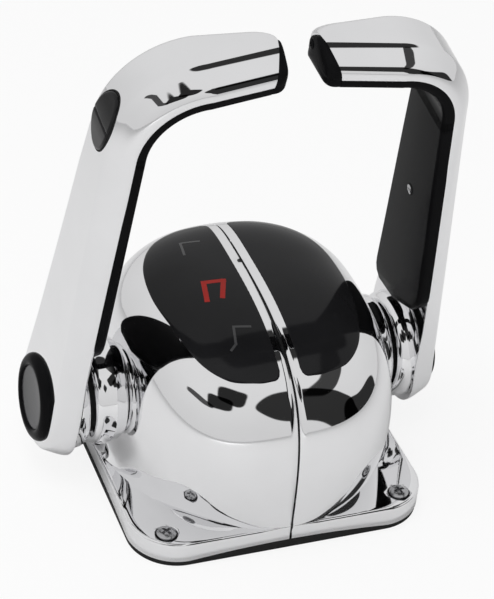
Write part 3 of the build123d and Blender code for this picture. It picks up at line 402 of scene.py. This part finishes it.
flare = np.linspace(58, 79, 14)
boss_profile = [(x, 28.4 + 12.0 * ((79 - x) / 21) ** 2.4) for x in flare] + [
    (80.2, 28.1), (81.2, 27.7), (82.0, 26.9), (82.4, 26.0), (82.5, 25.0), (82.5, 22.4), (82.3, 22.05),
    (80.3, 22.0), (80.3, 10.2), (70, 10.2)]
cover = lay_skin("starboard_cover_shell", cover_rows, chrome, "housing", sharp=24.0)
wall = cover.modifiers.new("wall", "SOLIDIFY")
wall.thickness = 0.0022
wall.offset = -1.0
wells = []
screw_x, screw_y, well_radius, well_floor, well_top = 63.2, 68.4, 5.9, 12.8, 18.0
for well_y in (-screw_y, screw_y):
    angle = np.linspace(0, 2 * np.pi, 48, endpoint=False)
    circle = well_radius * np.stack([np.cos(angle), np.sin(angle)], -1)
    column = np.stack([np.concatenate([(screw_x, well_y) + share * circle, np.full((48, 1), z)], 1)
                       for share, z in ((0, well_floor), (1, well_floor), (1, well_top), (0, well_top))])
    wells.append(lay_skin("well_cutter", column, chrome, "housing", True))
for well in wells:
    cut = cover.modifiers.new("well", "BOOLEAN")
    cut.operation = "DIFFERENCE"
    cut.object = well
view_layer = bpy.context.evaluated_depsgraph_get()
cut_mesh = bpy.data.meshes.new_from_object(cover.evaluated_get(view_layer))
cover.modifiers.clear()
cover.data = cut_mesh
for well in wells:
    bpy.data.objects.remove(well)
# The port cover is the mirror image, with its faces turned back outwards.
port_mesh = cut_mesh.copy()
port_mesh.transform(Matrix.Scale(-1, 4, (1, 0, 0)))
port_mesh.flip_normals()
port_cover = bpy.data.objects.new("port_cover_shell", port_mesh)
bpy.context.scene.collection.objects.link(port_cover)
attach(port_cover, "housing")
for side_name, shell, mirrored in (("starboard", cover, False), ("port", port_cover, True)):
    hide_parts(side_name + "_cover")
    boss = lay_skin(side_name + "_shaft_boss", round_about_x(boss_profile), chrome, "housing", True,
                    mirrored)
dress(["seam_gasket"], black_rubber)

# Panels: gloss black mouldings let into the tops of the covers, one each side of the seam, a
# little proud, with rounded edges.
panel_gloss = finish_material("panel_gloss", (0.012, 0.012, 0.013), 0.09, vary=0.1, ior=1.25)
panel_points = np.array([(9.2, 61.5), (24, 61), (38.5, 52), (48.5, 34), (51.5, 10), (49, -15), (43, -39),
                         (32, -52.5), (18, -57), (9.2, -57.5)])


def panel_edge():
    """Closed plan of a panel: a Catmull-Rom curve through its points, quarter rounds at the two
    corners beside the seam, and a straight edge between them."""
    ends = np.array([2 * panel_points[0] - panel_points[1], 2 * panel_points[-1] - panel_points[-2]])
    track = np.concatenate([ends[:1], panel_points, ends[1:]])
    t = np.linspace(0, 1, 24, endpoint=False)[:, None]
    spans = []
    for a, b, c, d in zip(track[:-3], track[1:-2], track[2:-1], track[3:]):
        spans.append(0.5 * (2 * b + (c - a) * t + (2 * a - 5 * b + 4 * c - d) * t ** 2
                            + (3 * b - a - 3 * c + d) * t ** 3))
    quarter = np.linspace(0, np.pi / 2, 12)[:, None]
    aft = np.concatenate([9.2 - 4 * np.sin(quarter), -53.5 - 4 * np.cos(quarter)], 1)
    straight = np.concatenate([np.full((30, 1), 5.2), np.linspace(-53, 57, 30)[:, None]], 1)
    bow = np.concatenate([9.2 - 4 * np.cos(quarter), 57.5 + 4 * np.sin(quarter)], 1)
    return np.concatenate(spans + [aft, straight, bow])


edge = panel_edge()
panel_middle = np.array([22.0, 4.0])
edge_angle = np.arctan2(edge[:, 1] - panel_middle[1], edge[:, 0] - panel_middle[0])
order = np.argsort(edge_angle)
edge_radius = np.linalg.norm(edge - panel_middle, axis=1)[order]
edge_angle = edge_angle[order]


def panel_patch(margin, shares, drop):
    """Patch of the dome inside the panel's edge: rings at shares of the way out, lifted by drop."""
    angle = np.linspace(-np.pi, np.pi, 288, endpoint=False)
    radius = np.interp(angle, edge_angle, edge_radius, period=2 * np.pi) - margin
    reach = np.asarray(shares)[:, None] * radius
    x = panel_middle[0] + reach * np.cos(angle)
    y = panel_middle[1] + reach * np.sin(angle)
    return np.stack([x, y, dome_roof(x, y) + np.asarray(drop)[:, None]], -1)


rings = np.concatenate([np.linspace(0, 0.95, 24), [0.97, 0.982, 0.99, 0.995, 0.998, 1.0, 1.0]])
lifts = np.interp(rings, [0, 0.97, 0.982, 0.99, 0.995, 0.998, 1.0], [0.3, 0.3, 0.27, 0.2, 0.1, 0.0, -0.15])
lifts[-1] = -1.2
for side_name, mirrored in (("starboard", False), ("port", True)):
    patch = panel_patch(0.1, rings, lifts)
    panel = lay_skin(side_name + "_gloss_panel", patch, panel_gloss, "housing", True, mirrored, 40.0)
    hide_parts(side_name + "_panel")

# Marks of the port panel: a red bracket that lights up in neutral, here unlit, and two faint grey
# ones, each a thin inlay flush with the panel.
red_lens = finish_material("red_lens", (0.42, 0.022, 0.016), 0.35, vary=0.12, shine=0.15)
grey_mark = finish_material("grey_mark", (0.05, 0.05, 0.052), 0.35, vary=0.1)


def inlay(name, corners, width, material, node_name, lift):
    """Ribbon along a bent line on the dome: each straight stroke is a grid of its length by its
    width, laid on the panel at a lift."""
    rows = []
    line = np.array(corners, float)
    for a, b in zip(line[:-1], line[1:]):
        along = (b - a) / np.linalg.norm(b - a)
        across = np.array([-along[1], along[0]])
        t = np.linspace(-0.5 * width, np.linalg.norm(b - a) + 0.5 * width, 14)[:, None, None]
        s = np.linspace(-0.5, 0.5, 5)[None, :, None] * width
        flat = a + along * t + across * s
        height = dome_roof(-flat[..., 0], flat[..., 1]) + lift
        rows.append(np.concatenate([flat, height[..., None]], -1))
    strokes = [lay_skin(name + "_" + str(number), row, material, "housing")
               for number, row in enumerate(rows)]
    if node_name:
        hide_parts(node_name)


mark_lift = 0.36
inlay("neutral_mark", [(-28.0, -6.5), (-25.4, 6.8), (-15.2, 5.8), (-19.6, -6.0)], 2.6, red_lens,
      "neutral_lens", mark_lift)
inlay("astern_mark", [(-12.9, -28.7), (-21.0, -27.0), (-23.0, -37.0), (-26.0, -39.5)], 1.3, grey_mark,
      "gear_marks", mark_lift)
inlay("ahead_mark", [(-27.0, 32.5), (-25.5, 43.5), (-16.0, 42.0)], 1.3, grey_mark, None, mark_lift)

# Corner screws: four stainless pan heads with a cross recess, turned down through the covers into
# the base plate. Each sits in its well inside a thin dark ring of painted shade round the head.
stainless = finish_material("stainless", (0.45, 0.45, 0.46), 0.22, metal=1.0, grain=0.1, grain_size=2500.0)


def screw_head(radius, height, center, right, ahead, up):
    """Pan head on a polar grid: crown height (1 - 0.42 share^2.6), less a cross-shaped hollow where either
    arm of the cross covers the place, and a wall down to its underside."""
    share = np.concatenate([np.linspace(0, 0.9, 40), [0.94, 0.97, 0.99, 1.0, 1.0]])[:, None]
    angle = np.linspace(0, 2 * np.pi, 120, endpoint=False)[None, :]
    x, y = share * np.cos(angle), share * np.sin(angle)
    crown = height * (1 - 0.42 * share ** 2.6) + 0 * angle
    arm_x = np.clip((0.15 - np.abs(y)) / 0.05, 0, 1) * np.clip((0.58 - np.abs(x)) / 0.08, 0, 1)
    arm_y = np.clip((0.15 - np.abs(x)) / 0.05, 0, 1) * np.clip((0.58 - np.abs(y)) / 0.08, 0, 1)
    crown = crown - 0.5 * height * np.maximum(arm_x, arm_y) * (1 - 0.4 * share)
    crown[-1] = 0.0
    place = radius * (x[..., None] * right + y[..., None] * ahead) + crown[..., None] * up
    return center + place


def painted_shade_ring(radius, center, right, ahead, up):
    """Painted shade round a screw head: a thin, low dark ring of half-round section, closed underneath."""
    turn = np.linspace(0, 2 * np.pi, 48, endpoint=False)[None, :, None]
    share = np.array([0.7, 0.75, 0.85, 0.95, 1.0, 1.0, 0.7])[:, None, None]
    lift = np.array([0.0, 0.22, 0.3, 0.22, 0.0, -0.4, -0.4])[:, None, None]
    return center + radius * share * (np.cos(turn) * right + np.sin(turn) * ahead) + lift * up


axes = np.eye(3)
for number, (side, end, turn) in enumerate(((-1, -1, 0.5), (1, -1, 0.2), (-1, 1, 0.9), (1, 1, 0.0))):
    floor_middle = np.array([side * screw_x, end * screw_y, well_floor])
    right = np.array([np.cos(turn), np.sin(turn), 0.0])
    crown = screw_head(5.0, 3.4, floor_middle + 0.05 * axes[2], right, np.cross(axes[2], right), axes[2])
    head = lay_skin("corner_screw_" + str(number), crown, stainless, "housing", True)
    # Painted shade: a thin dark ring in the black rubber finish at the floor of each well, round the head.
    shade_ring_rows = painted_shade_ring(well_radius - 0.05, floor_middle + 0.1 * axes[2], *axes)
    shade_ring_piece = lay_skin("corner_shade_ring_" + str(number), shade_ring_rows, black_rubber, "housing", True, sharp=50.0)
    if number == 0:
        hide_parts("flange_screws")

# Levers: L-shaped chromed castings, one each side, clamped on the shafts. The outer face is flat,
# with a broad bevel and a narrow upright side; the foot is round about the shaft, and a wide bend
# leads into the handle.
face_x = 106.5
lean_in = np.radians(4.8)
lean_aft = np.radians(10.7)
rise = np.radians(2.5)
bend_radius = 46.0
bend_turn = np.pi / 2 - lean_in - rise
foot_radius = 31.5
corner_reach = (225.0 - (face_x - 12.5) * np.tan(rise)) / (np.cos(lean_in) - np.sin(lean_in) * np.tan(rise))
arm_length = corner_reach - bend_radius * np.tan(bend_turn / 2)
bend_length = bend_radius * bend_turn
bend_start = np.array([face_x - arm_length * np.sin(lean_in), arm_length * np.cos(lean_in)])
bend_center = bend_start - bend_radius * np.array([np.cos(lean_in), np.sin(lean_in)])
handle_start = bend_center + bend_radius * np.array([np.sin(rise), np.cos(rise)])
handle_length = (handle_start[0] - 8.5) / np.cos(rise)
bend_end = arm_length + bend_length
tip_length = 2.6
cut_reach = bend_end + handle_length - tip_length
cut_rake = 0.2126
bend_half_width, tip_half_width = 20.0, 16.0
taper = (np.arcsin(foot_radius / np.hypot(arm_length, bend_half_width))
         - np.arctan2(bend_half_width, arm_length))


def lever_point(n, reach, depth):
    """Place on the starboard lever: n across, reach along the outer face from the pivot, depth
    below it. Straight up the arm, round the bend's centre, then straight along the handle, and the
    whole leaned aft about the pivot."""
    n, reach, depth = np.broadcast_arrays(*[np.asarray(v, float) for v in (n, reach, depth)])
    low = np.minimum(reach, arm_length)
    x = face_x - low * np.sin(lean_in) - depth * np.cos(lean_in)
    z = low * np.cos(lean_in) - depth * np.sin(lean_in)
    turn = lean_in + np.clip((reach - arm_length) / bend_radius, 0, bend_turn)
    bent = reach > arm_length
    x = np.where(bent, bend_center[0] + (bend_radius - depth) * np.cos(turn), x)
    z = np.where(bent, bend_center[1] + (bend_radius - depth) * np.sin(turn), z)
    beyond = np.maximum(reach - bend_end, 0)
    x = x - beyond * np.cos(rise)
    z = z + beyond * np.sin(rise)
    y = n * np.cos(lean_aft) - z * np.sin(lean_aft)
    z = n * np.sin(lean_aft) + z * np.cos(lean_aft)
    return np.stack([x, y + pivot[1], z + pivot[2]], -1)


def lever_half_width(reach):
    """Half width along the lever: the foot's tangent line up the arm, level round the bend, and
    tapering along the handle."""
    arm = (foot_radius - reach * np.sin(taper)) / np.cos(taper)
    beyond = np.clip((reach - bend_end) / handle_length, 0, 1)
    return np.where(reach < arm_length, arm, bend_half_width + (tip_half_width - bend_half_width) * beyond)


def end_cut(n, depth):
    """Reach of the raked cut between chrome and black end: cut + rake (n - depth), further along
    towards the upper forward edge."""
    return cut_reach + cut_rake * (n - depth)


def fore_share(reach):
    """Share of the inset given back on the forward side: its bevel grows steeper up the arm."""
    return np.interp(reach, [40, 150], [0.0, 0.45])


round_length, round_depth = 12.0, 6.0


def end_round(reach):
    """Amount the forward side draws in before the cut: a quarter ellipse, depth (1 - (1 - s^2)^(1/2))
    with s the share of its length."""
    s = np.clip((reach - cut_reach + round_length) / round_length, 0, 1)
    return round_depth * (1 - np.sqrt(1 - s ** 2))


def lever_strip(section, start, slant=0.0, tip=0.0, foot=False, end=None):
    """Closed strip carried along the lever: section gives the half profile (inset from the edge,
    depth) at a reach, from the middle of the outer face to the middle of the inner one, and it is
    mirrored across, with the forward side steeper. With foot, it is first carried half round the
    pivot. Slant skews the rows below the bend, tip rounds the start as a power curve 2.6, and
    without an end the strip runs to the raked cut. An inset past 90 marks the middle of a face."""
    last = cut_reach if end is None else end
    around = np.linspace(-np.pi / 2, taper, 30)
    stations = [(angle, foot_radius * np.sin(angle)) for angle in around] if foot else []
    begin = foot_radius * np.sin(taper) + 0.5 if foot else start
    reaches = np.concatenate([np.linspace(begin, arm_length, 36)[:-1] if begin < arm_length else [],
                              np.linspace(max(begin, arm_length), min(last, bend_end), 40)])
    if last > bend_end:
        level_part = np.linspace(bend_end, last - round_length - 1.0, 14)[1:]
        closing = last - round_length * (1 - np.sin(np.linspace(0, np.pi / 2, 18)))
        reaches = np.concatenate([reaches, level_part, closing])
    grid = []
    for angle, place in stations + [(None, reach) for reach in reaches]:
        inset, depth = section(place)
        bare = np.abs(inset) > 90
        if angle is not None:
            radius = np.where(bare, 0.0, foot_radius - inset)
            n, reach, shift = radius * np.cos(angle), radius * np.sin(angle), 0.0
        else:
            width = lever_half_width(place)
            ahead = np.clip((place - begin) / tip, 0, 1) if tip else 1.0
            width = width * (1 - (1 - ahead) ** 2.6) ** (1 / 2.6)
            n, reach = np.where(bare, 0.0, np.maximum(width - inset, 0.0)), place + 0 * inset
            shift = slant * np.clip((arm_length - place) / 100.0, 0, 1)
        fore = n if angle is not None else n + np.where(
            bare, 0.0, fore_share(place) * np.minimum(inset, width) - (0 if end else end_round(place)))
        both_n, both_depth = np.concatenate([fore, -n[::-1]]), np.concatenate([depth, depth[::-1]])
        both_reach = np.concatenate([reach, reach[::-1]]) - shift * both_n
        if end is None:
            beyond = np.clip((both_reach - bend_end) / (last - bend_end), 0, 1)
            both_reach = both_reach + beyond * (end_cut(both_n, both_depth) - last)
        grid.append(lever_point(both_n, both_reach, both_depth))
    return np.stack(grid)


def casting(reach):
    """Half section of the casting: a flat face, a broad bevel eased at both creases by quadratic
    curves, and an upright side. Along the lever the bevel widens and comes less far down."""
    across = np.interp(reach, [0, 73, 173, 330], [4.6, 6.8, 10.6, 13.6])
    down = np.interp(reach, [-30, 52, 157, 330], [11.6, 10.0, 8.0, 5.6])
    back = np.interp(reach, [15, 40], [13.5, 12.0])
    t = np.linspace(0, 1, 6)
    upper = (1 - t) ** 2 * (across + 2.4), 2 * t * (1 - t) * across, t ** 2 * 0.7 * across
    lower = (1 - t) ** 2 * 0.36 * across, 2 * t * (1 - t) * down, t ** 2 * min(down + 3.6, back - 0.9)
    inset = np.concatenate([[99], sum(upper), lower[0], [0, 0.12, 0.5, -99]])
    depth = np.concatenate([[0], t ** 2 * 0.3 * down, (1 - t) ** 2 * 0.64 * down + lower[1] + lower[2],
                            [back - 0.6, back - 0.2, back, back]])
    return inset, depth


for side_name, mirrored in (("starboard", False), ("port", True)):
    grid = lever_strip(casting, 0.0, foot=True)
    ends = np.repeat(grid[-1:].mean(axis=1, keepdims=True), grid.shape[1], 1)
    arm = lay_skin(side_name + "_lever_casting", np.concatenate([grid, ends]), chrome, side_name + "_lever",
                   True, mirrored, 30.0)
    weights = arm.modifiers.new("flat_faces", "WEIGHTED_NORMAL")
    weights.keep_sharp = True
    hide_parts(side_name + "_lever_arm")
    collar_profile = [(100, 8.2), (84.5, 8.2), (84.5, 24.8), (84.7, 25.7), (85.2, 26.6), (86.0, 27.4),
                      (87.2, 28.1), (88.8, 28.7), (90.6, 29.0), (93.0, 29.1), (93.0, 8.2)]
    collar = lay_skin(side_name + "_hub_collar", round_about_x(collar_profile), chrome,
                      side_name + "_lever", True, mirrored)
    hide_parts(side_name + "_lever_collar")

# Trim: black soft-touch strips on the inner side of the arm and round the bend under the handle,
# and the domed end of the handle, each held by a small cross-recess screw.
trim_black = finish_material("trim_black", (0.006, 0.006, 0.0065), 0.22, grain=0.08, grain_size=2200.0,
                             vary=0.12, ior=1.08)
trim_edge = [0.3, 0.45, 0.85, 1.5, 2.3], [14.6, 15.8, 16.5, 17.05, 17.4]


def trim(reach):
    """Half section of the trim, the same at each reach: a flat back, an upright side and a rounded
    edge to its flat face."""
    inset = [99, 0.5, 0.32, 0.3, *trim_edge[0], 3.3, -99]
    depth = [12.0, 12.0, 11.8, 11.5, *trim_edge[1], 17.5, 17.5]
    return np.array(inset), np.array(depth)


def capped(grid):
    """The grid with a fan to the middle of its first and last rows."""
    first = np.repeat(grid[:1].mean(axis=1, keepdims=True), grid.shape[1], 1)
    last = np.repeat(grid[-1:].mean(axis=1, keepdims=True), grid.shape[1], 1)
    return np.concatenate([first, grid, last])


def handle_end_grid():
    """Domed black end of the handle: from the raked cut the section draws in by (1 - s^p)^(1/p)
    while it advances by s to the end face."""
    inset, depth = casting(330.0)
    keep = np.abs(inset) < 90
    inset, depth = np.append(inset[keep], trim_edge[0]), np.append(depth[keep], trim_edge[1])
    fore = tip_half_width - (1 - fore_share(cut_reach)) * inset - end_round(cut_reach)
    n = np.concatenate([fore, -(tip_half_width - inset)[::-1]])
    d = np.concatenate([depth, depth[::-1]])
    middle_n, middle_d, power = -1.5, 8.5, 3.2
    start = end_cut(n, d) + 0.1
    grid = []
    for s in np.sin(np.radians(np.linspace(0, 90, 16))):
        draw = max(1 - s ** power, 0.0) ** (1 / power)
        at_n, at_d = middle_n + (n - middle_n) * draw, middle_d + (d - middle_d) * draw
        grid.append(lever_point(at_n, start + (cut_reach + tip_length - start) * s, at_d))
    return np.stack(grid)


for side_name, mirrored in (("starboard", False), ("port", True)):
    body = side_name + "_lever"
    strip = lay_skin(side_name + "_arm_strip", capped(lever_strip(trim, 38.0, slant=0.45, tip=18.0,
                     end=arm_length - 6.2)), trim_black, body, True, mirrored, 50.0)
    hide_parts(side_name + "_arm_trim")
    under = lay_skin(side_name + "_grip_strip", capped(lever_strip(trim, arm_length - 5.8)), trim_black,
                     body, True, mirrored, 50.0)
    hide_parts(side_name + "_grip_trim")
    tip = lay_skin(side_name + "_handle_tip", handle_end_grid(), trim_black, body, True, mirrored, 40.0)
    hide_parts(side_name + "_grip_end")
    for place_name, n, reach, depth, finish, slot in (
            ("_strip", 2.0, 118.0, 17.5, stainless, "stainless"),
            ("_end", 5.0, cut_reach + 2.2, 7.0, trim_black, "trim_black")):
        center = lever_point(n, reach, depth)
        right = lever_point(n + 1.0, reach, depth) - center
        along = lever_point(n, reach + 1.0, depth) - center
        inward = lever_point(n, reach, depth + 1.0) - center
        up, ahead = (along, inward) if place_name == "_end" else (inward, along)
        # Painted shade: a thin dark ring in the black rubber finish round each screw head, for the shade in
        # its recess.
        recess_shade = lay_skin(side_name + place_name + "_recess", painted_shade_ring(3.3, center, right, ahead, up),
                          black_rubber, body, True, mirrored, 50.0)
        head = lay_skin(side_name + place_name + "_screw", screw_head(2.5, 0.9, center, right, ahead, up),
                        finish, body, True, mirrored)
        if place_name == "_strip":
            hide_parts(side_name + "_trim_screws")

# Cap of the pivot: a black ring with a rounded crown round a dark, slightly dished disc, clipped
# into the foot of the lever. The disc is left plain.
cap_grey = finish_material("cap_grey", (0.03, 0.03, 0.033), 0.2, vary=0.08, shine=0.2)


def cap_surface(profile):
    """Profile (radius, height over the outer face) carried round the pivot on the lever's face."""
    radius, height = np.array(profile, float).T[..., None]
    angle = np.linspace(0, 2 * np.pi, 96, endpoint=False)[None, :]
    return lever_point(radius * np.cos(angle), radius * np.sin(angle), -height + 0 * angle)


ring_profile = [(16.4, 0.0), (16.8, 2.9), (17.1, 3.4), (17.8, 3.75), (18.8, 3.85), (20.0, 3.7), (21.3, 3.1),
                (22.3, 2.2), (22.9, 1.2), (23.1, 0.0)]
disc_profile = [(0, 2.2), (6, 2.25), (12, 2.4), (15.5, 2.6), (16.5, 2.6), (16.9, 2.3), (16.9, -1.5),
                (0, -1.5)]
for side_name, mirrored in (("starboard", False), ("port", True)):
    ring = lay_skin(side_name + "_pivot_ring", cap_surface(ring_profile), trim_black, side_name + "_lever",
                    True, mirrored, 50.0)
    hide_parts(side_name + "_cap_ring")
    disc = lay_skin(side_name + "_pivot_disc", cap_surface(disc_profile), cap_grey, side_name + "_lever",
                    True, mirrored, 50.0)
    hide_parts(side_name + "_cap_disc")

# Trim rocker of the port lever: an oval two-way key of black plastic let into the outer side of the
# bend, with a line across its middle. It tilts on a steel pin, in a thin rubber lip.
rocker_black = finish_material("rocker_black", (0.008, 0.008, 0.0085), 0.2, grain=0.1, grain_size=1800.0,
                               vary=0.12, shine=0.2)
rocker_n, rocker_reach = 2.0, 188.5
rocker_half_width, rocker_half_length = 10.4, 15.6


def oval_on_lever(shares, depths, half_n, half_reach):
    """Oval on the lever's outer face about the rocker's middle: rings at shares of the way out."""
    share = np.asarray(shares)[:, None]
    angle = np.linspace(0, 2 * np.pi, 120, endpoint=False)[None, :]
    n = rocker_n + half_n * share * np.cos(angle)
    reach = rocker_reach + half_reach * share * np.sin(angle)
    depth = np.asarray(depths)[:, None] + 0 * angle
    return n, reach, depth


key_shares = np.concatenate([np.linspace(0, 0.9, 44), [0.94, 0.965, 0.985, 0.995, 1.0, 1.0]])
key_depths = np.interp(key_shares, [0, 0.9, 0.94, 0.965, 0.985, 0.995, 1.0],
                       [-1.3, -1.2, -1.1, -0.95, -0.7, -0.4, 0.0])
key_depths[-1] = 2.5
n, reach, depth = oval_on_lever(key_shares, key_depths, rocker_half_width, rocker_half_length)
depth = depth + 0.7 * np.exp(-((reach - rocker_reach) / 0.45) ** 2)
rocker = lay_skin("trim_key", lever_point(n, reach, depth), rocker_black, "trim_rocker", True, True, 60.0)
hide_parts("trim_rocker")
n, reach, depth = oval_on_lever([0.97, 1.0, 1.03, 1.06, 1.06], [0.4, -0.15, -0.25, -0.1, 0.6],
                                rocker_half_width + 0.1, rocker_half_length + 0.1)
lip = lay_skin("trim_key_lip", lever_point(n, reach, depth), black_rubber, "port_lever", True, True, 60.0)

turn = np.linspace(0, 2 * np.pi, 24, endpoint=False)[None, :]
pin_n = rocker_n + 9.8 * np.array([-1.0, -1.0, 1.0, 1.0])[:, None] + 0 * turn
pin_radius = np.array([0.0, 1.2, 1.2, 0.0])[:, None]
pin_skin = lever_point(pin_n, rocker_reach + pin_radius * np.cos(turn), 2.8 + pin_radius * np.sin(turn))
pin = lay_skin("rocker_hinge_pin", pin_skin, machined_steel, "port_lever", True, True)
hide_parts("rocker_pin")
